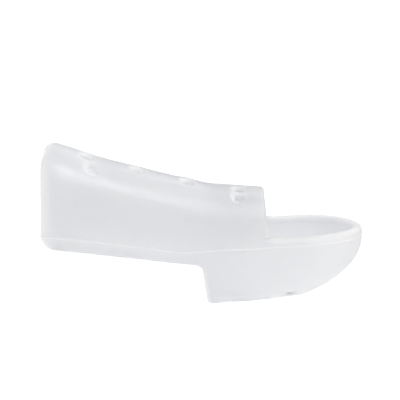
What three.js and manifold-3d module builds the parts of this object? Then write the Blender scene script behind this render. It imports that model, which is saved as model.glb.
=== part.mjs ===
// Fingertip splint, moulded in one piece in milky polyethylene: an arched sleeve over the middle of the
// finger that is open on the palm side, a hood over the end joint, and a cup under the fingertip that
// is open over the nail.
//
// It is drawn in the finger's own frame, in millimetres: X runs from the finger's way in to the tip,
// Y across the finger and Z towards the back of the hand. The heights hang on the parting line, the
// seam along both sides where the two halves of the mould met. At the end the splint is laid on a
// table as it comes to rest: on the heel and the two lower corners of the sleeve.
import * as THREE from "three";
import { LoftGeometry } from "three/addons/geometries/LoftGeometry.js";
import { mergeVertices } from "three/addons/utils/BufferGeometryUtils.js";
import Module from "manifold-3d";

// Lengths along the finger
const LENGTH = 55.6; // way in to tip
const HEEL_AT = 27.8; // way in to the heel, at its top
const HEEL_LEAN = 1.1; // how much further along the heel's edge is at the keel
const HOOD_END_AT = 38.5; // way in to the hood's edge, at its top
const HOOD_LEAN = 0.7; // how much further along the hood's edge is at the rim
const ENTRY_LEAN = 0.25; // how much further along the sleeve's end is at its lower corners
const BOW_LENGTH = 10.7; // stretch over which the cup rounds off to the tip

// Widths, heights and the wall
const WALL = 1.3;
const ENTRY_WIDTH = 19; // outside, at the way in
const CUP_WIDTH = 17; // outside, at the cup
const ENTRY_CROWN = 14.4; // parting line to the top of the arch, at the way in
const CUP_DEPTH = 11.5; // parting line to the keel, at the heel
const SEAM_RISE = 3; // parting line at the way in above its lowest point
const RIM_HEIGHT = 1.4; // parting line to the cup's rim
const ENTRY_SIDE_DROP = 2.5; // parting line to the sleeve's lower edges, at the way in
const HEEL_SIDE_DROP = 3.05; // the same at the heel
const SIDE_CURL = 5.6; // depth at which the curled side walls would meet under the finger
const HEEL_BLEND = 1; // stretch before the heel over which the side walls widen into the cup

// Roundings
const LIP_RADIUS = 0.85; // outside of the sleeve's end
const LIP_INNER_RADIUS = 0.2; // inside of the sleeve's end
const SIDE_CORNER_RADIUS = 2.2; // lower corners of the sleeve's end
const CROWN_CORNER_RADIUS = 2.2; // top of the sleeve's end
const HOOD_CORNER_RADIUS = 0.7; // top of the hood's edge
const HOOD_FILLET = 1; // hood's edge into the rim
const HEEL_FILLET = 0.5; // sleeve's lower edge into the heel
const HEEL_CORNER_RADIUS = 1; // heel into the keel

// Round vents through the arch: a row along the crown, and a pair beside its first and its last
const VENT_DIAMETER = 1.9;
const VENT_FIRST_AT = 7.85;
const VENT_PITCH = 8.8;
const VENT_COUNT = 4;
const CROWN_VENT_OFFSET = -1.2; // the row runs a little to one side of the middle
const SIDE_VENT_OFFSET = 4;
const SIDE_VENTS = [
  { row: 0, further: 1 },
  { row: VENT_COUNT - 1, further: 0 },
];

// Shapes of the cross-sections: 2 is an ellipse, more is squarer
const ARCH_POWER = 2.15;
const CUP_POWER = 2.2;
const SIDE_WALL_POWER = 2;

// How the cup rounds in to the tip: the powers of its width, and of its depth along and across the bow
const BOW_WIDTH_POWER = 0.53;
const BOW_DEPTH_ALONG = 1.15;
const BOW_DEPTH_ACROSS = 0.42;

// Fineness of the facets
const SECTION_POINTS = 56;
const STATION_STEP = 2;
const BOW_STATIONS = 14;
const BLEND_STEPS = 4;
const ROUNDING_STEPS = 5;
const VENT_SIDES = 20;
const TIP_FACET = 0.4; // small flat left at the tip, share of a bow station
const WELD = 1e-5; // points closer than this are one

// The splint's lines along the finger. at: share of LENGTH. seam: height of the parting line, share of
// SEAM_RISE. crown: height of the arch over the parting line, share of ENTRY_CROWN. half: half-width,
// 1 at the way in and 0 at the cup. keel: depth of the keel, share of CUP_DEPTH.
const LINES = [
  { at: 0.0, seam: 1.0, crown: 0.985, half: 1.0, keel: 1.0 },
  { at: 0.04, seam: 0.92, crown: 1.0, half: 0.97, keel: 1.0 },
  { at: 0.2, seam: 0.61, crown: 0.865, half: 0.75, keel: 1.0 },
  { at: 0.31, seam: 0.33, crown: 0.815, half: 0.5, keel: 1.0 },
  { at: 0.4, seam: 0.09, crown: 0.775, half: 0.25, keel: 1.0 },
  { at: 0.46, seam: 0.0, crown: 0.747, half: 0.15, keel: 1.0 },
  { at: 0.51, seam: 0.06, crown: 0.68, half: 0.07, keel: 1.0 },
  { at: 0.57, seam: 0.13, crown: 0.645, half: 0.0, keel: 0.99 },
  { at: 0.65, seam: 0.19, crown: 0.61, half: 0.0, keel: 0.985 },
  { at: 0.71, seam: 0.26, crown: 0.58, half: 0.0, keel: 0.97 },
  { at: 0.81, seam: 0.37, crown: 0.53, half: 0.0, keel: 0.935 },
  { at: 0.92, seam: 0.45, crown: 0.48, half: 0.0, keel: 0.93 },
  { at: 1.0, seam: 0.46, crown: 0.44, half: 0.0, keel: 0.93 },
];

// Value of one of the lines at a distance along the finger, on a smooth curve through the table's rows
function lineAt(column, along) {
  const at = Math.min(Math.max(along / LENGTH, 0), 1);
  const last = LINES.length - 1;
  let row = 0;
  while (row < last - 1 && LINES[row + 1].at < at) row += 1;
  const slope = (i) => {
    const before = LINES[Math.max(i - 1, 0)];
    const after = LINES[Math.min(i + 1, last)];
    return (after[column] - before[column]) / (after.at - before.at);
  };
  const span = LINES[row + 1].at - LINES[row].at;
  const t = (at - LINES[row].at) / span;
  return (
    LINES[row][column] * (1 + 2 * t) * (1 - t) ** 2 +
    LINES[row + 1][column] * t * t * (3 - 2 * t) +
    slope(row) * span * t * (1 - t) ** 2 +
    slope(row + 1) * span * t * t * (t - 1)
  );
}

const seamAt = (along) => SEAM_RISE * lineAt("seam", along);
const crownAt = (along) => ENTRY_CROWN * lineAt("crown", along);
const keelAt = (along) => CUP_DEPTH * lineAt("keel", along);
const halfWidthAt = (along) =>
  CUP_WIDTH / 2 + ((ENTRY_WIDTH - CUP_WIDTH) / 2) * lineAt("half", along);

// Share of the full width and depth that is left at a share of the bow's length
const bowWidth = (share) => (1 - share ** 2) ** BOW_WIDTH_POWER;
const bowDepth = (share) => (1 - share ** BOW_DEPTH_ALONG) ** BOW_DEPTH_ACROSS;

// Closed ring round the finger: an upper and a lower half of a rounded oval on the parting line
function ring(along, halfWidth, above, below, powerAbove, powerBelow) {
  const points = [];
  for (let i = 0; i < SECTION_POINTS; i += 1) {
    const angle = (i / SECTION_POINTS) * 2 * Math.PI;
    const [c, s] = [Math.cos(angle), Math.sin(angle)];
    const [height, power] = s > 0 ? [above, powerAbove] : [below, powerBelow];
    points.push(
      new THREE.Vector3(
        along,
        halfWidth * Math.sign(c) * Math.abs(c) ** (2 / power),
        seamAt(along) + height * Math.sign(s) * Math.abs(s) ** (2 / power),
      ),
    );
  }
  return points;
}

// Depth and squareness of the lower half: curled side walls along the sleeve, the full cup from the
// heel on, with a short smooth step between them
function lowerHalfAt(along) {
  const share = THREE.MathUtils.smoothstep(along, HEEL_AT - HEEL_BLEND, HEEL_AT);
  return {
    below: THREE.MathUtils.lerp(SIDE_CURL, keelAt(along), share),
    power: THREE.MathUtils.lerp(SIDE_WALL_POWER, CUP_POWER, share),
  };
}

function ringAt(along, inset, bow = 0) {
  const { below, power } = lowerHalfAt(along);
  return ring(
    along,
    (halfWidthAt(along) - inset) * bowWidth(bow),
    crownAt(along) - inset,
    (below - inset) * bowDepth(bow),
    ARCH_POWER,
    power,
  );
}

// Even distances from one place to another, about one step apart, without the first
function distances(from, to, step = STATION_STEP) {
  const count = Math.max(Math.round((to - from) / step), 1);
  return Array.from({ length: count }, (_, i) => from + ((to - from) * (i + 1)) / count);
}

// Whole form without its openings, drawn in from the outside by an inset. The outside rounds in to its
// end by a lip radius, the inside flares out by its own and runs out past the end.
function form(inset, lipRadius, runOut) {
  const rings = runOut > 0 ? [ringAt(-runOut, inset - lipRadius)] : [];
  const lip = runOut > 0 ? -lipRadius : lipRadius;
  for (let i = 0; i <= ROUNDING_STEPS; i += 1) {
    const angle = (i / ROUNDING_STEPS) * (Math.PI / 2);
    const along = lipRadius * (1 - Math.cos(angle));
    rings.push(ringAt(along, inset + lip * (1 - Math.sin(angle))));
  }
  const bowAt = LENGTH - BOW_LENGTH;
  for (const along of [
    ...distances(lipRadius, HEEL_AT - HEEL_BLEND),
    ...distances(HEEL_AT - HEEL_BLEND, HEEL_AT, HEEL_BLEND / BLEND_STEPS),
    ...distances(HEEL_AT, bowAt),
  ])
    rings.push(ringAt(along, inset));
  for (let i = 1; i <= BOW_STATIONS; i += 1) {
    const share = Math.sin((i / (BOW_STATIONS + TIP_FACET)) * (Math.PI / 2));
    rings.push(ringAt(bowAt + (BOW_LENGTH - inset) * share, inset, share));
  }
  return new LoftGeometry(rings, { capStart: true, capEnd: true });
}

// The splint's outline from the side, wider than the walls wherever they are left whole: the sleeve's
// end, the hood's edge, the rim, the heel and the sleeve's lower edges are cut along it
function sideOutline(clear) {
  const rimAt = (along) => seamAt(along) + RIM_HEIGHT;
  const crownTopAt = (along) => seamAt(along) + crownAt(along);
  const sideAt = (along) =>
    THREE.MathUtils.lerp(
      seamAt(0) - ENTRY_SIDE_DROP,
      seamAt(HEEL_AT) - HEEL_SIDE_DROP,
      along / HEEL_AT,
    );
  const roof = crownTopAt(0) + clear;
  const floor = -CUP_DEPTH - clear;
  const hoodFoot = HOOD_END_AT + HOOD_LEAN;
  const heelFoot = HEEL_AT + HEEL_LEAN;
  const keel = seamAt(heelFoot) - keelAt(heelFoot);
  const shape = new THREE.Shape();
  // corner with a rounding that starts and ends at a distance from it
  const corner = (from, at, to) => {
    shape.lineTo(...from);
    shape.quadraticCurveTo(...at, ...to);
  };
  shape.moveTo(ENTRY_LEAN, sideAt(0) + SIDE_CORNER_RADIUS);
  corner(
    [0, crownTopAt(0) - CROWN_CORNER_RADIUS],
    [0, crownTopAt(0)],
    [CROWN_CORNER_RADIUS, crownTopAt(CROWN_CORNER_RADIUS)],
  );
  shape.lineTo(CROWN_CORNER_RADIUS, roof);
  shape.lineTo(HOOD_END_AT - HOOD_CORNER_RADIUS, roof);
  corner(
    [HOOD_END_AT - HOOD_CORNER_RADIUS, crownTopAt(HOOD_END_AT)],
    [HOOD_END_AT, crownTopAt(HOOD_END_AT)],
    [HOOD_END_AT, crownTopAt(HOOD_END_AT) - HOOD_CORNER_RADIUS],
  );
  corner(
    [hoodFoot, rimAt(hoodFoot) + HOOD_FILLET],
    [hoodFoot, rimAt(hoodFoot)],
    [hoodFoot + HOOD_FILLET, rimAt(hoodFoot + HOOD_FILLET)],
  );
  for (const along of distances(hoodFoot + HOOD_FILLET, LENGTH)) shape.lineTo(along, rimAt(along));
  shape.lineTo(LENGTH + clear, rimAt(LENGTH));
  shape.lineTo(LENGTH + clear, floor);
  shape.lineTo(heelFoot + HEEL_CORNER_RADIUS, floor);
  corner(
    [heelFoot + HEEL_CORNER_RADIUS, keel],
    [heelFoot, keel],
    [heelFoot, keel + HEEL_CORNER_RADIUS],
  );
  corner(
    [HEEL_AT, sideAt(HEEL_AT) - HEEL_FILLET],
    [HEEL_AT, sideAt(HEEL_AT)],
    [HEEL_AT - HEEL_FILLET, sideAt(HEEL_AT - HEEL_FILLET)],
  );
  corner(
    [ENTRY_LEAN + SIDE_CORNER_RADIUS, sideAt(ENTRY_LEAN + SIDE_CORNER_RADIUS)],
    [ENTRY_LEAN, sideAt(ENTRY_LEAN)],
    [ENTRY_LEAN, sideAt(0) + SIDE_CORNER_RADIUS],
  );
  return shape;
}

const wasm = await Module();
wasm.setup();

// three.js geometry as a solid that can be joined and cut
function solid(geometry) {
  const bare = new THREE.BufferGeometry();
  bare.setAttribute("position", geometry.getAttribute("position"));
  bare.setIndex(geometry.index);
  const merged = mergeVertices(bare, WELD);
  return new wasm.Manifold(
    new wasm.Mesh({
      numProp: 3,
      vertProperties: merged.attributes.position.array,
      triVerts: new Uint32Array(merged.index.array),
    }),
  );
}

// Solid back as three.js geometry
function geometryOf(body) {
  const { vertProperties, triVerts } = body.getMesh();
  const geometry = new THREE.BufferGeometry();
  geometry.setAttribute("position", new THREE.BufferAttribute(vertProperties, 3));
  geometry.setIndex(new THREE.BufferAttribute(triVerts, 1));
  geometry.computeVertexNormals();
  return geometry;
}

// Plate with the side outline, as wide as the splint and more
function sidePlate() {
  const width = Math.max(ENTRY_WIDTH, CUP_WIDTH) + 2 * WALL;
  const plate = new THREE.ExtrudeGeometry(sideOutline(CUP_DEPTH), {
    depth: width,
    bevelEnabled: false,
    curveSegments: ROUNDING_STEPS,
  });
  return plate.rotateX(Math.PI / 2).translate(0, width / 2, 0);
}

// Upright pin that leaves a vent through the arch
function ventPin(along, across) {
  const radius = VENT_DIAMETER / 2;
  const pin = new THREE.CylinderGeometry(radius, radius, ENTRY_CROWN, VENT_SIDES);
  return pin.rotateX(Math.PI / 2).translate(along, across, seamAt(along) + crownAt(along));
}

const ventAt = (index) => VENT_FIRST_AT + index * VENT_PITCH;

function shell() {
  let body = solid(form(0, LIP_RADIUS, 0));
  body = body.subtract(solid(form(WALL, LIP_INNER_RADIUS, WALL)));
  body = body.intersect(solid(sidePlate()));
  for (let i = 0; i < VENT_COUNT; i += 1)
    body = body.subtract(solid(ventPin(ventAt(i), CROWN_VENT_OFFSET)));
  for (const { row, further } of SIDE_VENTS)
    for (const side of [-1, 1])
      body = body.subtract(solid(ventPin(ventAt(row) + further, side * SIDE_VENT_OFFSET)));
  return body;
}

// Centre of mass of a closed body in one material, from the tetrahedra that its triangles make with
// the origin
function centreOfMass(geometry) {
  const { index } = geometry;
  const place = geometry.getAttribute("position");
  const sum = new THREE.Vector3();
  let volume = 0;
  for (let i = 0; i < index.count; i += 3) {
    const [a, b, c] = [0, 1, 2].map((k) =>
      new THREE.Vector3().fromBufferAttribute(place, index.getX(i + k)),
    );
    const share = a.dot(b.clone().cross(c));
    sum.addScaledVector(a.add(b).add(c), share / 4);
    volume += share;
  }
  return sum.divideScalar(volume);
}

// Turn about Y that lays the splint on a table, back of the hand up. It stands on its lowest point and
// tips towards its centre of mass, from one point of its lower edge to the next, until the centre is
// over the stretch between the two points that touch.
function restingTurn(geometry) {
  const place = geometry.getAttribute("position");
  const points = Array.from(
    { length: place.count },
    (_, i) => new THREE.Vector2(place.getX(i), place.getZ(i)),
  );
  const { x, z } = centreOfMass(geometry);
  const centre = new THREE.Vector2(x, z);
  let foot = points.reduce((low, p) => (p.y < low.y ? p : low));
  const side = Math.sign(centre.x - foot.x);
  for (;;) {
    const angleTo = (p) => Math.atan2(p.y - foot.y, side * (p.x - foot.x));
    const next = points
      .filter((p) => side * (p.x - foot.x) > 0)
      .reduce((best, p) => (angleTo(p) < angleTo(best) ? p : best));
    const edge = next.clone().sub(foot);
    if (centre.clone().sub(foot).dot(edge) <= edge.lengthSq()) return side * angleTo(next);
    foot = next;
  }
}

const milkyPlastic = new THREE.MeshStandardMaterial({
  color: 0xe6e9ee,
  roughness: 0.42,
  metalness: 0,
});

const splint = new THREE.Mesh(geometryOf(shell()), milkyPlastic);
splint.name = "splint_shell";
splint.rotation.y = restingTurn(splint.geometry);
const extent = new THREE.Box3().setFromObject(splint, true);
const middle = extent.getCenter(new THREE.Vector3());
splint.position.set(-middle.x, -middle.y, -extent.min.z);

const part = new THREE.Group();
part.add(splint);

export default part;
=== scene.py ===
import math

import bmesh
import bpy
from mathutils import Matrix, Vector


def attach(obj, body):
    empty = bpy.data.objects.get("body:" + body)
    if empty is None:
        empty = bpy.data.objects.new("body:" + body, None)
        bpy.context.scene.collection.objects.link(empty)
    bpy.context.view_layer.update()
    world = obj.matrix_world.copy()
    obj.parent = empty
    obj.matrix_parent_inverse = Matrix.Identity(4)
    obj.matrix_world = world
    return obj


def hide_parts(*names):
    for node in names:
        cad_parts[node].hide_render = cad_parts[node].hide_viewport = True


bl_info = {
    "name": "Finger splint",
    "version": (1, 0, 0),
    "blender": (4, 5, 0),
    "location": "3D View > Sidebar > Splint",
    "description": "Dresses the moulded finger splint and sets it on a pale studio floor",
    "category": "Object",
}

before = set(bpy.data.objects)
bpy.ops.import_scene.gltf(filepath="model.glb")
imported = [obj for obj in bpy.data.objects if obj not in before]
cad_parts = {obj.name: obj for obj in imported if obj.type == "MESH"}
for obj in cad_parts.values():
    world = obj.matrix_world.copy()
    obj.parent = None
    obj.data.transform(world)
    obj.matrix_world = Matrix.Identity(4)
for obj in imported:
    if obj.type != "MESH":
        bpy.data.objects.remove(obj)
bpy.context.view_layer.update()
NODE = "splint_shell"
MM = 0.001  # metres; the sizes below are in millimetres

# The splint's lines along the finger. at: share of the length. seam: height of the parting line, share of
# the seam's rise. crown: height of the arch over it, share of the entry's crown. half: half-width, 1 at
# the way in and 0 at the cup. keel: depth of the keel, share of the cup's depth.
LINES = [
    {"at": 0.0, "seam": 1.0, "crown": 0.985, "half": 1.0, "keel": 1.0},
    {"at": 0.04, "seam": 0.92, "crown": 1.0, "half": 0.97, "keel": 1.0},
    {"at": 0.2, "seam": 0.61, "crown": 0.865, "half": 0.75, "keel": 1.0},
    {"at": 0.31, "seam": 0.33, "crown": 0.815, "half": 0.5, "keel": 1.0},
    {"at": 0.4, "seam": 0.09, "crown": 0.775, "half": 0.25, "keel": 1.0},
    {"at": 0.46, "seam": 0.0, "crown": 0.747, "half": 0.15, "keel": 1.0},
    {"at": 0.51, "seam": 0.06, "crown": 0.68, "half": 0.07, "keel": 1.0},
    {"at": 0.57, "seam": 0.13, "crown": 0.645, "half": 0.0, "keel": 0.99},
    {"at": 0.65, "seam": 0.19, "crown": 0.61, "half": 0.0, "keel": 0.985},
    {"at": 0.71, "seam": 0.26, "crown": 0.58, "half": 0.0, "keel": 0.97},
    {"at": 0.81, "seam": 0.37, "crown": 0.53, "half": 0.0, "keel": 0.935},
    {"at": 0.92, "seam": 0.45, "crown": 0.48, "half": 0.0, "keel": 0.93},
    {"at": 1.0, "seam": 0.46, "crown": 0.44, "half": 0.0, "keel": 0.93},
]

# Shapes of the cross-sections, 2 is an ellipse and more is squarer, and how the cup rounds in to the tip
ARCH_POWER = 2.15
CUP_POWER = 2.2
SIDE_WALL_POWER = 2.0
BOW_WIDTH_POWER = 0.53
BOW_DEPTH_POWERS = (1.15, 0.42)

# Vents: a row along the crown, and pairs beside it. row: the vent of the crown's row that a pair lies
# beside. further: how much further along the pair is, in millimetres.
VENT_COUNT = 4
SIDE_VENTS = [
    {"row": 0, "further": 1.0},
    {"row": VENT_COUNT - 1, "further": 0.0},
]

# Rows and columns of the cage that are counted and not measured
SIDE_LEVELS = (1.0, 0.68, 0.36)  # rows under the parting line, shares of the side's drop
ARCH_ROWS = 9  # from the rim's height to the first row beside the vents
HULL_ROWS = 13  # from the keel to the level of the sleeve's lower edge
BOW_COLUMNS = 8  # round the first half of the cup's end
BLEND_COLUMNS = 2  # over the stretch where the side walls widen into the cup
ARCH_BLEND = 0.5  # share of the arch over which the band's columns become the arch's own
VENT_ROOM = 0.56  # from a row of vents to the rows of the cage beside it, share of their diameter
ENTRY_REACH = 0.2  # share of the arch over which the cut of the sleeve's end dies away
HOOD_REACH = 0.1  # share of the arch over which the rounding of the hood's edge dies away
HOOD_FOOT_SHIFT = 0.15  # the corner between hood and rim is moved this far along and this far up
PASSES = 2  # an edge that leans is found by going over its height this many times
SAME_POINT = 1e-4  # points of the net closer than this are one

# Subdivision draws a ridge and a ring of points in, so both are set out by a factor first
RIDGE_GAIN = 1.5
VENT_GAIN = 1.12

GATE_ROW = 5  # row of the hull with the gate's scar
GATE_ROW_WEIGHT = 4  # how much a row counts against the way along when the scar's point is chosen
GATE_LIFT = 0.125  # plastic raised round the scar, share of its depth

# Painted light, by place: an attribute on the net that the material reads. Above zero it whitens the
# colour and lets less light through: a painted highlight at the sleeve's end, the heel, the rim and its
# bead, the vents and the flash, and the whole inside painted lighter. Below zero more light goes straight
# through: painted shade at the gate's scar.
PAINTED_LIGHT_ATTRIBUTE = "painted_light"
PAINTED_LIGHT_LEVELS = {
    "entry": 0.7, "heel": 0.5, "rim": 0.35, "bead": 0.85, "vent": 0.55, "flash": 0.5, "gate": -1.3,
    "hollow": 0.5,
}
# the painted highlight at the sleeve's end fades over these columns
ENTRY_HIGHLIGHT_COLUMNS = 2  # columns from the sleeve's end over which its glow fades

# Fields of the net, by the number that each point carries
FIELDS = {"arch": 0, "band": 1, "hull": 2}
SMOOTHING = 2  # levels of subdivision

# How the splint comes to rest: the finger's own frame is turned back about Y and set on the floor
REST_TURN = math.radians(-22.617)
REST_AT = Vector((-22.7723, 0.0, -0.99365))

# Camera, in the finger's own frame: the point that it stands square on to, and the point it looks at
SQUARE_ON_TO = Vector((28.1, 0.0, 0.0))
LOOKS_AT = Vector((27.44, 1.78, 6.64))
SENSOR_WIDTH = 36.0
PICTURE_PIXELS = 400
CAMERA_REACH = (0.01, 20.0)  # nearest and furthest that it sees, in metres

FLOOR_HALF_WIDTH = 4.0  # metres
FLOOR_FACES = 8  # along each side

# Lamps over the floor, in metres and watts: at is the middle of the lamp, which faces the splint
LIGHTS = {
    "key": {"at": (-0.08, -0.22, 0.68), "size": 0.2, "watts": 1.6, "colour": "FFFFFF"},
    "fill": {"at": (0.12, -0.08, 0.05), "size": 0.08, "watts": 0.06, "colour": "FFFBF4"},
    "back": {"at": (0.1, 0.45, 0.6), "size": 0.5, "watts": 1.8, "colour": "FFFFFF"},
}


def linear(colour):
    """sRGB hex to the linear colour that a shader takes."""
    parts = [int(colour[i : i + 2], 16) / 255 for i in (0, 2, 4)]
    return [c / 12.92 if c <= 0.04045 else ((c + 0.055) / 1.055) ** 2.4 for c in parts] + [1.0]


def length(name, default, text):
    """A length in millimetres that the user can change. It has no unit, which Blender would take for
    metres."""
    return bpy.props.FloatProperty(name=name, default=default, description=text, min=0.0)


def portion(name, default, text):
    """A share of one that the user can change."""
    return bpy.props.FloatProperty(
        name=name, default=default, description=text, min=0.0, max=1.0, subtype="FACTOR"
    )


def tint(name, default, text):
    """A colour that the user can change, given as sRGB hex."""
    return bpy.props.FloatVectorProperty(
        name=name, default=linear(default), description=text, min=0.0, max=1.0, size=4,
        subtype="COLOR",
    )


class SplintSizes(bpy.types.PropertyGroup):
    """Sizes of the moulded shell, in millimetres, in the finger's own frame."""

    length: length("Length", 55.6, "Way in to tip")
    heel_at: length("Heel at", 27.8, "Way in to the heel, at its top")
    heel_lean: length("Heel lean", 1.1, "How much further along the heel's edge is at the keel")
    hood_end_at: length("Hood end at", 38.5, "Way in to the hood's edge, at its top")
    hood_lean: length("Hood lean", 0.7, "How much further along the hood's edge is at the rim")
    entry_lean: length("Entry lean", 0.25, "How much further along the end is at its lower corners")
    bow_length: length("Bow length", 10.7, "Stretch over which the cup rounds off to the tip")
    wall: length("Wall", 1.3, "Thickness of the moulding")
    entry_width: length("Entry width", 19.0, "Outside width at the way in")
    cup_width: length("Cup width", 17.0, "Outside width at the cup")
    entry_crown: length("Entry crown", 14.4, "Parting line to the top of the arch")
    cup_depth: length("Cup depth", 11.5, "Parting line to the keel")
    seam_rise: length("Seam rise", 3.0, "Parting line at the way in above its lowest point")
    rim_height: length("Rim height", 1.4, "Parting line to the cup's rim")
    entry_side_drop: length("Entry side drop", 2.5, "Parting line to the lower edge, at the way in")
    heel_side_drop: length("Heel side drop", 3.05, "Parting line to the lower edge, at the heel")
    side_curl: length("Side curl", 5.6, "Depth at which the curled side walls would meet")
    heel_blend: length("Heel blend", 1.0, "Stretch over which the side walls widen into the cup")
    side_corner: length("Side corner", 2.2, "Rounding of the lower corners of the sleeve's end")
    crown_corner: length("Crown corner", 2.2, "Rounding at the top of the sleeve's end")
    hood_corner: length("Hood corner", 0.7, "Rounding at the top of the hood's edge")
    heel_corner: length("Heel corner", 1.0, "Rounding of the heel into the keel")
    vent_diameter: length("Vent diameter", 1.9, "Round vents through the arch")
    vent_first_at: length("First vent at", 7.85, "Way in to the first vent")
    vent_pitch: length("Vent pitch", 8.8, "Distance between the vents of the crown's row")
    crown_vent_across: length("Crown vents across", 1.2, "Middle line to the crown's row of vents")
    side_vent_across: length("Side vents across", 4.0, "Middle line to the paired vents")
    ridge_height: length("Ridge height", 0.1, "Flash left on the parting line")
    ridge_half_width: length("Ridge half width", 0.16, "Half the width of the parting line's flash")
    bead_height: length("Bead height", 0.55, "Height of the rounded bead inside the cup's rim")
    bead_swell: length("Bead swell", 0.3, "How far the bead stands in from the cup's wall")
    vent_taper: length("Vent taper", 0.2, "How much narrower a vent is at the inside")
    face_size: length("Face size", 1.0, "Size of the cage's faces before they are subdivided")
    scallop: portion("Scallop", 0.75, "Fall of the end's middle, share of the crown corner")
    rim_fall: length("Rim fall", 0.45, "How far the outside falls in at the cup's rim")
    lip_fall: length("Lip fall", 0.3, "How far the outside falls in at the sleeve's end")
    gate_at: length("Gate at", 43.2, "Way in to the gate's scar, under the cup")
    gate_depth: length("Gate depth", 1.5, "Depth of the scar before the net is smoothed")


class SplintFinish(bpy.types.PropertyGroup):
    """Colours and finish of the moulding."""

    body_colour: tint("Body colour", "F6F8FE", "Colour of the milky plastic")
    depth_colour: tint("Depth colour", "EEF1FB", "Colour where the melt ran thicker")
    # painted highlight: the colour that the edges, vents, flash and inside are painted towards
    painted_highlight_colour: tint("Edge colour", "FFFFFF", "Colour where light gathers in an edge")
    clear: portion("Clear", 0.42, "Share of the light that passes straight into the wall")
    depth_of_light: length("Depth of light", 4.0, "How far light runs inside the plastic")


class StudioSettings(bpy.types.PropertyGroup):
    """Floor, lights and camera."""

    floor_colour: tint("Floor colour", "A8A8A8", "Colour of the opal floor with its lamps off")
    floor_glow: portion("Floor glow", 0.77, "Strength of the lamps under the floor")
    tent_glow: portion("Tent glow", 0.52, "Strength of the white tent round the splint")
    camera_distance: length("Camera distance", 550.0, "Camera to the middle of the splint")
    camera_elevation: bpy.props.FloatProperty(
        name="Camera elevation", default=math.radians(15), subtype="ANGLE", unit="ROTATION",
        description="Height of the view over the side of the finger",
    )
    picture_scale: bpy.props.FloatProperty(
        name="Picture scale", default=5.75, description="Pixels to the millimetre at the splint",
        min=0.0,
    )


def resting():
    """Matrix from the finger's own frame in millimetres to the place on the floor in metres."""
    turn = Matrix.Rotation(REST_TURN, 4, "Y")
    return Matrix.Scale(MM, 4) @ Matrix.Translation(REST_AT) @ turn


def line_at(column, share):
    """Value of one of the splint's lines, on a smooth curve through the table's rows."""
    at = min(max(share, 0.0), 1.0)
    last = len(LINES) - 1
    row = 0
    while row < last - 1 and LINES[row + 1]["at"] < at:
        row += 1

    def slope(i):
        before, after = LINES[max(i - 1, 0)], LINES[min(i + 1, last)]
        return (after[column] - before[column]) / (after["at"] - before["at"])

    span = LINES[row + 1]["at"] - LINES[row]["at"]
    t = (at - LINES[row]["at"]) / span
    return (
        LINES[row][column] * (1 + 2 * t) * (1 - t) ** 2
        + LINES[row + 1][column] * t * t * (3 - 2 * t)
        + slope(row) * span * t * (1 - t) ** 2
        + slope(row + 1) * span * t * t * (t - 1)
    )


def smooth(value):
    """Smooth step from 0 to 1."""
    value = min(max(value, 0.0), 1.0)
    return value * value * (3 - 2 * value)


def mix(a, b, share):
    """Value at a share of the way from a to b."""
    return a + (b - a) * share


def even(a, b, count):
    """Even steps from a to b, without the first."""
    return [mix(a, b, (i + 1) / count) for i in range(count)]


def rounding(depth, radius):
    """How far a rounded corner falls back, at a depth into the rounding."""
    share = min(max(depth / radius, 0.0), 1.0)
    return radius * (1 - math.sqrt(1 - share * share))


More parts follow.
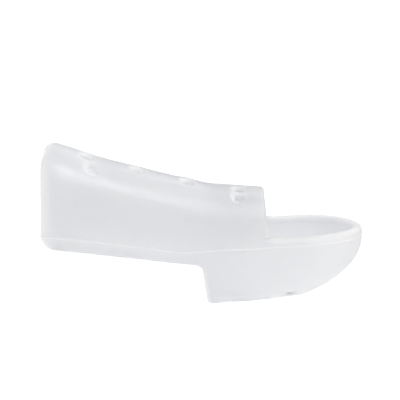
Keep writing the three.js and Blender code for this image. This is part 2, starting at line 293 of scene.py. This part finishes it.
class Form:
    """The splint's surface in the finger's own frame: outside at inset 0, inside at the wall's inset."""

    def __init__(self, sizes):
        self.s = sizes
        self.bow_at = sizes.length - sizes.bow_length
        self.hood_foot = sizes.hood_end_at + sizes.hood_lean

    def seam(self, x):
        """Height of the parting line."""
        return self.s.seam_rise * line_at("seam", x / self.s.length)

    def crown(self, x):
        """Parting line to the top of the arch."""
        return self.s.entry_crown * line_at("crown", x / self.s.length)

    def keel(self, x):
        """Parting line to the keel."""
        return self.s.cup_depth * line_at("keel", x / self.s.length)

    def half(self, x):
        """Half the width."""
        flare = line_at("half", x / self.s.length)
        return mix(self.s.cup_width, self.s.entry_width, flare) / 2

    def side_drop(self, x):
        """Parting line to the sleeve's lower edge, and on round the cup."""
        if x >= self.s.heel_at:
            return self.s.heel_side_drop
        entry = self.seam(0) - self.s.entry_side_drop
        heel = self.seam(self.s.heel_at) - self.s.heel_side_drop
        return self.seam(x) - mix(entry, heel, x / self.s.heel_at)

    def half_section(self, x, level, inset):
        """Depth and squareness of the section over the parting line, or under it where level < 0."""
        if level >= 0:
            return self.crown(x) - inset, ARCH_POWER
        share = smooth((x - self.s.heel_at) / self.s.heel_blend + 1)
        depth = mix(self.s.side_curl, self.keel(x), share)
        return depth - inset, mix(SIDE_WALL_POWER, CUP_POWER, share)

    def on_height(self, x, height, inset):
        """Point of the section at a height over the parting line."""
        depth, power = self.half_section(x, height, inset)
        share = min(abs(height) / depth, 1.0)
        across = (self.half(x) - inset) * (1 - share**power) ** (1 / power)
        return Vector((x, across, self.seam(x) + height))

    def on_angle(self, x, angle, inset):
        """Point of the section at an angle round it, from the parting line."""
        depth, power = self.half_section(x, angle, inset)
        across = (self.half(x) - inset) * abs(math.cos(angle)) ** (2 / power)
        height = depth * abs(math.sin(angle)) ** (2 / power)
        return Vector((x, across, self.seam(x) + math.copysign(height, angle)))

    def angle_of(self, x, height, inset):
        """Angle round the section at which it reaches a height."""
        depth, power = self.half_section(x, height, inset)
        return math.copysign(math.asin(min(abs(height) / depth, 1.0) ** (power / 2)), height)

    def over_plan(self, x, y, inset):
        """Point of the arch over a place in plan."""
        share = min(abs(y) / (self.half(x) - inset), 1.0)
        height = (self.crown(x) - inset) * (1 - share**ARCH_POWER) ** (1 / ARCH_POWER)
        return Vector((x, y, self.seam(x) + height))

    def in_bow(self, turn, height, inset):
        """Point of a level line round the cup's end, a quarter turn from the side to the tip."""
        reach = self.s.bow_length - inset
        if height >= 0:
            share = math.sin(turn)
            x = self.bow_at + reach * share
            left = (1 - share**2) ** BOW_WIDTH_POWER
            level = height / (self.crown(x) - inset)
            across = (self.half(x) - inset) * left * (1 - level**ARCH_POWER) ** (1 / ARCH_POWER)
            return Vector((x, across, self.seam(x) + height))
        first, second = BOW_DEPTH_POWERS
        level = min(-height / (self.keel(self.bow_at) - inset), 1.0)
        end = (1 - level ** (1 / second)) ** (1 / first)
        share = end * math.sin(turn)
        x = self.bow_at + reach * share
        left = (1 - share**2) ** BOW_WIDTH_POWER
        depth = (1 - share**first) ** second
        inner = max(1 - (level / depth) ** CUP_POWER, 0.0) ** (1 / CUP_POWER)
        across = (self.half(x) - inset) * left * inner
        return Vector((x, across, self.seam(x) - (self.keel(x) - inset) * level))


class Cage:
    """The net of faces over the form, in three fields a side: the arch, the band along the parting
    line, and the hull under it. Each field's corners meet those of its neighbours."""

    def __init__(self, sizes):
        self.s = sizes
        self.form = Form(sizes)
        self.set_columns()
        self.set_rows()
        # each field's count of columns and of rows, and what places its points
        straight = self.bow_column - self.heel_column
        self.fields = {
            FIELDS["arch"]: (self.hood_column, len(self.arch) - 1, self.over_arch),
            FIELDS["band"]: (
                self.bow_column + BOW_COLUMNS + HULL_ROWS, len(self.band) - 1, self.along_band
            ),
            FIELDS["hull"]: (straight + BOW_COLUMNS, HULL_ROWS, self.under_hull),
        }

    def steps(self, stretch):
        """How many faces fit in a stretch."""
        return max(round(stretch / self.s.face_size), 1)

    def set_columns(self):
        """Columns over the arch stand on the vents, and those of the band on the heel."""
        s, f = self.s, self.form
        first_vent, gaps = s.vent_first_at, VENT_COUNT - 1
        last_vent = first_vent + gaps * s.vent_pitch
        top = [0.0, *even(0, first_vent, self.steps(first_vent))]
        top += even(first_vent, last_vent, gaps * self.steps(s.vent_pitch))
        top += even(last_vent, s.hood_end_at, self.steps(s.hood_end_at - last_vent) + 1)
        blend_at = s.heel_at - s.heel_blend
        low = [0.0, *even(0, blend_at, self.steps(blend_at) - 1)]
        low += even(blend_at, s.heel_at, BLEND_COLUMNS)
        self.heel_column = len(low) - 1
        low += even(s.heel_at, f.hood_foot, len(top) - len(low))
        self.hood_column = len(low) - 1
        low += even(f.hood_foot, f.bow_at, self.steps(f.bow_at - f.hood_foot))
        self.bow_column = len(low) - 1
        self.top, self.low = top, low

    def set_rows(self):
        """Rows of the band go from the side's lower edge to the rim, and over the arch they stand on
        the vents."""
        s = self.s
        self.band = [-level for level in SIDE_LEVELS]
        self.band += [-s.ridge_half_width, 0.0, s.ridge_half_width]
        self.band += [s.rim_height - s.bead_height, s.rim_height]
        self.seam_row = len(SIDE_LEVELS) + 1
        half, room = (s.entry_width + s.cup_width) / 4, s.vent_diameter * VENT_ROOM
        across = [0.0, s.crown_vent_across, s.crown_vent_across + room]
        across += [s.side_vent_across - room, s.side_vent_across, s.side_vent_across + room]
        angles = [math.acos((y / half) ** (ARCH_POWER / 2)) for y in across]
        foot = self.form.angle_of(s.heel_at, s.rim_height, 0)
        shares = [(a - foot) / (math.pi / 2 - foot) for a in angles][::-1]
        self.arch = [0.0, *even(0, shares[0], ARCH_ROWS), *shares[1:]]

    def entry_edge(self, x, height):
        """How far along the sleeve's end lies, at a height over the parting line."""
        s = self.s
        top, low = self.form.crown(x), -s.entry_side_drop
        lean = s.entry_lean * (top - height) / (top - low)
        up = max(1 - (top - height) / s.crown_corner, 0.0)
        return lean + s.crown_corner * s.scallop * up**2

    def over_arch(self, i, j, inset):
        """Rows run from the rim's height, 0, to the crown, columns from the way in to the hood's edge."""
        s, f = self.s, self.form
        share = self.arch[j]
        up = smooth(share / ARCH_BLEND)
        along = mix(self.low[i] / f.hood_foot, self.top[i] / s.hood_end_at, up)
        x = along * s.hood_end_at
        for _ in range(PASSES):
            rim = f.angle_of(x, s.rim_height, inset)
            place = f.on_angle(x, mix(rim, math.pi / 2, share), inset)
            height, crown = place.z - f.seam(x), f.crown(x)
            edge = f.hood_foot - s.hood_lean * (height - s.rim_height) / (crown - s.rim_height)
            corner = rounding(height - (crown - s.hood_corner), s.hood_corner)
            x = along * edge - corner * max(0.0, 1 - (1 - along) / HOOD_REACH)
            x += self.entry_edge(x, height) * max(0.0, 1 - along / ENTRY_REACH)
        rim = f.angle_of(x, s.rim_height, inset)
        place = f.on_angle(x, mix(rim, math.pi / 2, share), inset)
        if share == 1:
            place.y = 0.0
        return place

    def band_height(self, j, drop):
        """Height of a row of the band over the parting line, where the side goes down by drop."""
        return self.band[j] * drop if j < len(SIDE_LEVELS) else self.band[j]

    def along_band(self, i, j, inset):
        """Rows run from the side's lower edge, 0, to the rim, columns from the way in to the tip."""
        s, f = self.s, self.form
        if i > self.bow_column:
            turn = self.bow_turn(i - self.bow_column)
            place = f.in_bow(turn, self.band_height(j, s.heel_side_drop), inset)
            if i == self.bow_column + BOW_COLUMNS + HULL_ROWS:
                place.y = 0.0
            return place
        x = self.low[i]
        if i <= self.hood_column:
            height = self.band_height(j, f.side_drop(x))
            x += self.entry_edge(x, height) * max(0.0, 1 - x / f.hood_foot / ENTRY_REACH)
        height = self.band_height(j, f.side_drop(x))
        # the lower corner of the sleeve's end is rounded
        corner, start = s.side_corner, s.entry_lean
        a, b = x - start, height + f.side_drop(x)
        if a < corner and b < corner:
            p, q = a / corner - 1, b / corner - 1
            x = start + corner * (1 + p * math.sqrt(1 - q * q / 2))
            height = corner * (1 + q * math.sqrt(1 - p * p / 2)) - f.side_drop(x)
        if i == self.hood_column and j == len(self.band) - 1:
            x, height = x + HOOD_FOOT_SHIFT, height + HOOD_FOOT_SHIFT
        return f.on_height(x, height, inset)

    def bow_turn(self, column):
        """Turn round the cup's end: its first half meets the hull's columns, its second the rows."""
        if column <= BOW_COLUMNS:
            return math.pi / 4 * column / BOW_COLUMNS
        return math.pi / 4 * (1 + (column - BOW_COLUMNS) / HULL_ROWS)

    def under_hull(self, i, j, inset):
        """Rows run from the keel, 0, to the band, columns from the heel round the cup's end."""
        s, f = self.s, self.form
        straight = self.bow_column - self.heel_column
        if i <= straight:
            reach = j / HULL_ROWS
            x = self.low[self.heel_column + i]
            share = (x - s.heel_at) / (f.bow_at - s.heel_at)
            for _ in range(PASSES):
                low = f.angle_of(max(x, s.heel_at), -s.heel_side_drop, inset)
                place = f.on_angle(max(x, s.heel_at), mix(-math.pi / 2, low, reach), inset)
                depth, keel = f.seam(x) - place.z, f.keel(x)
                down = (depth - s.heel_side_drop) / (keel - s.heel_side_drop)
                heel = s.heel_at + s.heel_lean * down
                heel += rounding(depth - (keel - s.heel_corner), s.heel_corner)
                x = mix(heel, f.bow_at, share)
            low = f.angle_of(x, -s.heel_side_drop, inset)
            place = f.on_angle(x, mix(-math.pi / 2, low, reach), inset)
        else:
            a, b = (i - straight) / BOW_COLUMNS, j / HULL_ROWS
            turn = math.pi / 4 * (a / b) if b >= a else math.pi / 4 * (2 - b / a)
            low = f.angle_of(f.bow_at, -s.heel_side_drop, inset)
            level = math.cos(max(a, b) * (math.pi / 2 + low)) ** (2 / CUP_POWER)
            place = f.in_bow(turn, -level * (f.keel(f.bow_at) - inset), inset)
        if j == 0:
            place.y = 0.0
        return place


def vent_places(sizes):
    """Places of the vents in plan: the crown's row, then the pairs beside it."""
    row = [sizes.vent_first_at + n * sizes.vent_pitch for n in range(VENT_COUNT)]
    places = [(x, -sizes.crown_vent_across) for x in row]
    for pair in SIDE_VENTS:
        for side in (-1, 1):
            places.append((row[pair["row"]] + pair["further"], side * sizes.side_vent_across))
    return places


class Moulding:
    """The moulding's wall: the cage on both sides, joined round every edge."""

    def __init__(self, sizes):
        self.s = sizes
        self.cage = Cage(sizes)
        self.bm = bmesh.new()
        layers = self.bm.verts.layers
        self.tag = {key: layers.int.new(key) for key in ("field", "i", "j", "vent")}
        self.pin = {key: layers.float.new(key) for key in ("out_x", "out_y", "in_x", "in_y")}
        # layer of painted light: painted highlight at edges and inside, painted shade at the gate's scar
        self.glow = layers.float.new(PAINTED_LIGHT_ATTRIBUTE)
        self.outside = set()

    def mesh(self, name):
        """The finished mesh, where the splint rests."""
        self.lay_fields()
        for x, y in vent_places(self.s):
            self.open_vent(x, y)
        self.give_wall()
        self.shape_edges()
        bmesh.ops.transform(self.bm, matrix=resting(), verts=self.bm.verts)
        mesh = bpy.data.meshes.new(name)
        self.bm.to_mesh(mesh)
        self.bm.free()
        return mesh

    def field_of(self, v):
        """Field, column and row of a point."""
        return (v[self.tag[key]] for key in ("field", "i", "j"))

    def lay_fields(self):
        """Grids laid on one side of the form and mirrored to the other."""
        bm = self.bm
        for field, (columns, rows, place) in self.cage.fields.items():
            grid = bmesh.ops.create_grid(bm, x_segments=columns, y_segments=rows, size=1.0)
            for v in grid["verts"]:
                i, j = round((v.co.x + 1) / 2 * columns), round((v.co.y + 1) / 2 * rows)
                v[self.tag["field"]], v[self.tag["i"]], v[self.tag["j"]] = field, i, j
                v.co = place(i, j, 0.0)
        bmesh.ops.remove_doubles(bm, verts=bm.verts, dist=SAME_POINT)
        half = bm.verts[:] + bm.edges[:] + bm.faces[:]
        bmesh.ops.mirror(bm, geom=half, axis="Y", merge_dist=SAME_POINT)
        bmesh.ops.recalc_face_normals(bm, faces=bm.faces)

    def open_vent(self, x, y):
        """Takes one point of the net out and draws the eight round it to a circle."""

        def turn(v):
            return math.atan2(v.co.y - y, v.co.x - x)

        above = [v for v in self.bm.verts if v[self.tag["field"]] == FIELDS["arch"]]
        centre = min(above, key=lambda v: (v.co.x - x) ** 2 + (v.co.y - y) ** 2)
        ring = {v for f in centre.link_faces for v in f.verts} - {centre}
        bmesh.ops.delete(self.bm, geom=[centre], context="VERTS")
        ordered = sorted(ring, key=turn)
        turns = [k * math.tau / len(ordered) for k in range(len(ordered))]
        start = sum(turn(v) - way for v, way in zip(ordered, turns)) / len(ordered)
        radius = self.s.vent_diameter / 2 * VENT_GAIN
        for v, way in zip(ordered, turns):
            v[self.tag["vent"]] = 1
            for side, reach in (("out", radius), ("in", radius - self.s.vent_taper)):
                v[self.pin[side + "_x"]] = x + reach * math.cos(start + way)
                v[self.pin[side + "_y"]] = y + reach * math.sin(start + way)
            v.co = self.at_vent(v, "out", 0.0)

    def at_vent(self, v, side, inset):
        """Place of a point round a vent, on the out or the in side of the wall."""
        x, y = v[self.pin[side + "_x"]], v[self.pin[side + "_y"]]
        return self.cage.form.over_plan(x, y, inset)

    def give_wall(self):
        """Solidify adds the inside and the edges, and the inside is then laid on its own form."""
        bm, wall = self.bm, self.s.wall
        self.outside = set(bm.verts)
        bmesh.ops.solidify(bm, geom=bm.faces[:], thickness=wall)
        for v in bm.verts:
            if v in self.outside:
                continue
            if v[self.tag["vent"]]:
                v.co = self.at_vent(v, "in", wall)
                continue
            field, i, j = self.field_of(v)
            _, _, place = self.cage.fields[field]
            side = -1.0 if v.co.y < 0 else 1.0
            v.co = place(i, j, wall) * Vector((1.0, side, 1.0))
        if bm.calc_volume(signed=True) < 0:
            bmesh.ops.reverse_faces(bm, faces=bm.faces)
        bm.normal_update()

    def in_bead(self, v):
        """Whether a point is on the bead along the cup's rim."""
        field, i, j = self.field_of(v)
        cage = self.cage
        return field == FIELDS["band"] and j > cage.seam_row + 1 and i > cage.hood_column

    def on_flash(self, v):
        """Whether a point is on the parting line's flash."""
        field, _, j = self.field_of(v)
        return field == FIELDS["band"] and j == self.cage.seam_row and v in self.outside

    def edge_move(self, v):
        """How far a point moves for the flash, the rounded lip, the rim's fall or its bead."""
        s, outer = self.s, v in self.outside
        field, i, j = self.field_of(v)
        x, y, z = v.normal
        level, upright = Vector((x, y, 0.0)).normalized(), Vector((0.0, y, z)).normalized()
        if self.on_flash(v):
            return v.normal * s.ridge_height * RIDGE_GAIN
        if self.in_bead(v) and not outer:
            return level * s.bead_swell
        if self.in_bead(v) and j == len(self.cage.band) - 1:
            return -level * s.rim_fall
        if outer and i == 0 and field != FIELDS["hull"] and not v[self.tag["vent"]]:
            return -upright * s.lip_fall
        return Vector()

    def painted_light(self, v):
        """How much painted light a point gets: a painted highlight at the edges, vents, flash, rim and
        bead, and the whole inside painted lighter.
        """
        field, i, _ = self.field_of(v)
        outer = v in self.outside
        if self.on_flash(v):
            return PAINTED_LIGHT_LEVELS["flash"]
        if self.in_bead(v):
            return PAINTED_LIGHT_LEVELS["rim" if outer else "bead"]
        if v[self.tag["vent"]]:
            return PAINTED_LIGHT_LEVELS["vent"]
        if field == FIELDS["hull"]:
            if i == 0:
                return PAINTED_LIGHT_LEVELS["heel"]
        elif i < ENTRY_HIGHLIGHT_COLUMNS:
            return PAINTED_LIGHT_LEVELS["entry"] / (i + 1)
        return 0.0 if outer else PAINTED_LIGHT_LEVELS["hollow"]

    def gate_scar(self):
        """Point of the hull's near side at which the gate was torn off."""

        def distance(v):
            rows = v[self.tag["j"]] - GATE_ROW
            return (v.co.x - self.s.gate_at) ** 2 + GATE_ROW_WEIGHT * rows**2

        hull = [v for v in self.outside if v.is_valid and v[self.tag["field"]] == FIELDS["hull"]]
        return min((v for v in hull if v.co.y < 0), key=distance)

    def shape_edges(self):
        """Moves the points of the flash, the edges and the gate's scar, and sets the painted light:
        painted highlights, and painted shade at the scar.
        """
        moves = {v: self.edge_move(v) for v in self.bm.verts}
        for v in self.bm.verts:
            v[self.glow] = self.painted_light(v)
        scar, depth = self.gate_scar(), self.s.gate_depth
        for edge in scar.link_edges:
            moves[edge.other_vert(scar)] = scar.normal * depth * GATE_LIFT
        moves[scar] = -scar.normal * depth
        # the gate's scar is painted darker: painted shade
        scar[self.glow] = PAINTED_LIGHT_LEVELS["gate"]
        for v, move in moves.items():
            v.co += move


def add_node(tree, kind, settings=None, **inputs):
    """Adds a node, with its settings, and with values or links for its inputs."""
    node = tree.nodes.new(kind)
    for key, value in (settings or {}).items():
        setattr(node, key, value)
    for key, value in inputs.items():
        socket = node.inputs[key.replace("_", " ")]
        if isinstance(value, bpy.types.NodeSocket):
            tree.links.new(value, socket)
        else:
            socket.default_value = value
    return node


def new_material(name):
    """A material with an empty node tree, and the tree."""
    material = bpy.data.materials.new(name)
    material.use_nodes = True
    material.node_tree.nodes.clear()
    return material, material.node_tree


def milky_polyethylene(finish):
    """Low-density polyethylene, injection moulded against a fine spark-eroded steel: milky, lit from
    within by light scattered in the wall, with a waxy soft sheen, faint flow marks along the finger and a
    fine grain, and with painted highlights at its edges, flash and inside."""
    flow_width, ripple_width = 5 * MM, 3 * MM
    grain_width = 0.4 * MM  # 0.05 mm on the mould, drawn eight times as coarse so that it shows
    drawn_out = (0.35, 1.0, 1.0)  # the melt ran along the finger
    material, tree = new_material("moulded_milky_polyethylene")
    place = add_node(tree, "ShaderNodeTexCoord").outputs["Object"]
    along = add_node(tree, "ShaderNodeMapping", Vector=place, Scale=drawn_out).outputs["Vector"]
    # flow marks, a little bluer where the plastic is thicker
    flow = add_node(
        tree, "ShaderNodeTexNoise", Vector=along, Scale=1 / flow_width, Detail=3.0, Roughness=0.5
    )
    shade = add_node(
        tree, "ShaderNodeMix", {"data_type": "RGBA"}, Factor=flow.outputs["Fac"],
        A=finish.body_colour, B=finish.depth_colour,
    )
    # a wavy skin with a satin sheen, and the mould's grain on it
    ripple = add_node(
        tree, "ShaderNodeTexNoise", Vector=along, Scale=1 / ripple_width, Detail=2.0
    ).outputs["Fac"]
    grain = add_node(tree, "ShaderNodeTexNoise", Vector=place, Scale=1 / grain_width, Detail=2.0)
    wavy = add_node(tree, "ShaderNodeBump", Height=ripple, Strength=0.15, Distance=0.2 * MM)
    bump = add_node(
        tree, "ShaderNodeBump", Height=grain.outputs["Fac"], Normal=wavy.outputs["Normal"],
        Strength=0.25, Distance=0.02 * MM,
    )
    satin = add_node(
        tree, "ShaderNodeMapRange", Value=ripple, From_Min=0.3, From_Max=0.7, To_Min=0.36,
        To_Max=0.46,
    )
    # painted highlight: the painted-light attribute whitens the colour and lets less light through at the
    # edges, the vents, the flash of the parting line and the inside; below zero it is painted shade at
    # the gate's scar
    painted_level = add_node(tree, "ShaderNodeAttribute", {"attribute_name": PAINTED_LIGHT_ATTRIBUTE}).outputs["Fac"]
    clear = add_node(
        tree, "ShaderNodeMapRange", {"clamp": False}, Value=painted_level, To_Min=finish.clear,
        To_Max=0.0,
    )
    # painted highlight: the colour mixed towards white by the painted-light attribute
    pale = add_node(
        tree, "ShaderNodeMix", {"data_type": "RGBA"}, Factor=painted_level,
        A=shade.outputs["Result"], B=finish.painted_highlight_colour,
    )
    shader = add_node(
        tree, "ShaderNodeBsdfPrincipled", Base_Color=pale.outputs["Result"], IOR=1.51,
        Roughness=satin.outputs["Result"], Normal=bump.outputs["Normal"], Subsurface_Weight=0.9,
        Subsurface_Radius=(1.0, 1.0, 1.1), Subsurface_Scale=finish.depth_of_light * MM,
        Transmission_Weight=clear.outputs["Result"],
    )
    add_node(tree, "ShaderNodeOutputMaterial", Surface=shader.outputs["BSDF"])
    return material


def light_table(settings):
    """Opal acrylic over lamps: an even pale floor that throws light back up under the splint."""
    frost_width = 2 * MM
    material, tree = new_material("opal_light_table")
    place = add_node(tree, "ShaderNodeTexCoord").outputs["Object"]
    frost = add_node(tree, "ShaderNodeTexNoise", Vector=place, Scale=1 / frost_width, Detail=3.0)
    bump = add_node(
        tree, "ShaderNodeBump", Height=frost.outputs["Fac"], Strength=0.05, Distance=0.02 * MM
    )
    shader = add_node(
        tree, "ShaderNodeBsdfPrincipled", Base_Color=settings.floor_colour, Roughness=1.0,
        Normal=bump.outputs["Normal"], Specular_IOR_Level=0.0, Emission_Color=linear("FFFFFF"),
        Emission_Strength=settings.floor_glow,
    )
    add_node(tree, "ShaderNodeOutputMaterial", Surface=shader.outputs["BSDF"])
    return material


class SPLINT_OT_shell(bpy.types.Operator):
    """Builds the moulded shell with its vents, rounded edges and parting line"""

    bl_idname = "splint.shell"
    bl_label = "Moulded shell"

    def execute(self, context):
        scene = context.scene
        mesh = Moulding(scene.splint_sizes).mesh("splint_shell_moulding")
        mesh.materials.append(milky_polyethylene(scene.splint_finish))
        mesh.shade_smooth()
        shell = bpy.data.objects.new("moulded_shell", mesh)
        scene.collection.objects.link(shell)
        rounded = shell.modifiers.new("rounded", "SUBSURF")
        rounded.levels = rounded.render_levels = SMOOTHING
        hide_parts(NODE)
        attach(shell, "root")
        return {"FINISHED"}


class SPLINT_OT_stage(bpy.types.Operator):
    """Sets the floor, the soft lights and the camera"""

    bl_idname = "splint.stage"
    bl_label = "Stage"

    def execute(self, context):
        scene = context.scene
        settings = scene.splint_studio
        self.floor(scene, settings)
        self.lights(scene, settings)
        self.camera(scene, settings)
        scene.view_settings.view_transform = "Standard"
        return {"FINISHED"}

    def floor(self, scene, settings):
        """Light table under the splint."""
        bm = bmesh.new()
        bmesh.ops.create_grid(
            bm, x_segments=FLOOR_FACES, y_segments=FLOOR_FACES, size=FLOOR_HALF_WIDTH
        )
        mesh = bpy.data.meshes.new("studio_floor")
        bm.to_mesh(mesh)
        bm.free()
        mesh.materials.append(light_table(settings))
        floor = bpy.data.objects.new("studio_floor", mesh)
        scene.collection.objects.link(floor)

    def lights(self, scene, settings):
        """White tent all round, and the lamps, which all face the splint."""
        world = bpy.data.worlds.new("studio_tent")
        world.use_nodes = True
        tent = world.node_tree.nodes["Background"]
        tent.inputs["Color"].default_value = linear("FFFFFF")
        tent.inputs["Strength"].default_value = settings.tent_glow
        scene.world = world
        for name, spot in LIGHTS.items():
            lamp = bpy.data.lights.new(name, "AREA")
            lamp.energy, lamp.size = spot["watts"], spot["size"]
            lamp.color = linear(spot["colour"])[:3]
            light = bpy.data.objects.new(name, lamp)
            light.location = Vector(spot["at"])
            light.rotation_euler = (-light.location).to_track_quat("-Z", "Y").to_euler()
            scene.collection.objects.link(light)

    def camera(self, scene, settings):
        """Camera at the photograph's angle: square on to the finger's side and a little above it."""
        tilt = settings.camera_elevation
        ahead = Vector((0.0, math.cos(tilt), -math.sin(tilt)))
        seat = SQUARE_ON_TO - ahead * settings.camera_distance
        back = (seat - LOOKS_AT).normalized()
        right = back.cross(Vector((1.0, 0.0, 0.0)).cross(back)).normalized()
        turn = Matrix((right, back.cross(right), back)).transposed().to_4x4()
        data = bpy.data.cameras.new("camera")
        data.sensor_width = SENSOR_WIDTH
        data.lens = settings.picture_scale * settings.camera_distance * SENSOR_WIDTH / PICTURE_PIXELS
        data.clip_start, data.clip_end = CAMERA_REACH
        camera = bpy.data.objects.new("camera", data)
        scene.collection.objects.link(camera)
        spin = Matrix.Rotation(REST_TURN, 4, "Y")
        camera.matrix_world = Matrix.Translation(resting() @ seat) @ spin @ turn
        scene.camera = camera


class SPLINT_PT_panel(bpy.types.Panel):
    """Sizes, finish and studio of the finger splint"""

    bl_label = "Finger splint"
    bl_idname = "SPLINT_PT_panel"
    bl_space_type = "VIEW_3D"
    bl_region_type = "UI"
    bl_category = "Splint"

    def draw(self, context):
        """A box for each group of values, then the two operators."""
        for group in GROUPS:
            box = self.layout.box()
            settings = getattr(context.scene, group)
            for key in settings.bl_rna.properties.keys():
                if key not in ("rna_type", "name"):
                    box.prop(settings, key)
        for operator in (SPLINT_OT_shell, SPLINT_OT_stage):
            self.layout.operator(operator.bl_idname)


GROUPS = {
    "splint_sizes": SplintSizes, "splint_finish": SplintFinish, "splint_studio": StudioSettings
}
CLASSES = (*GROUPS.values(), SPLINT_OT_shell, SPLINT_OT_stage, SPLINT_PT_panel)


def register():
    """Registers the classes and hangs their values on the scene."""
    for item in CLASSES:
        bpy.utils.register_class(item)
    for name, group in GROUPS.items():
        setattr(bpy.types.Scene, name, bpy.props.PointerProperty(type=group))


def unregister():
    """Takes back what register has done."""
    for name in GROUPS:
        delattr(bpy.types.Scene, name)
    for item in reversed(CLASSES):
        bpy.utils.unregister_class(item)


def main():
    """Builds the splint and its stage."""
    register()
    bpy.ops.splint.shell()
    bpy.ops.splint.stage()


if __name__ == "__main__":
    main()
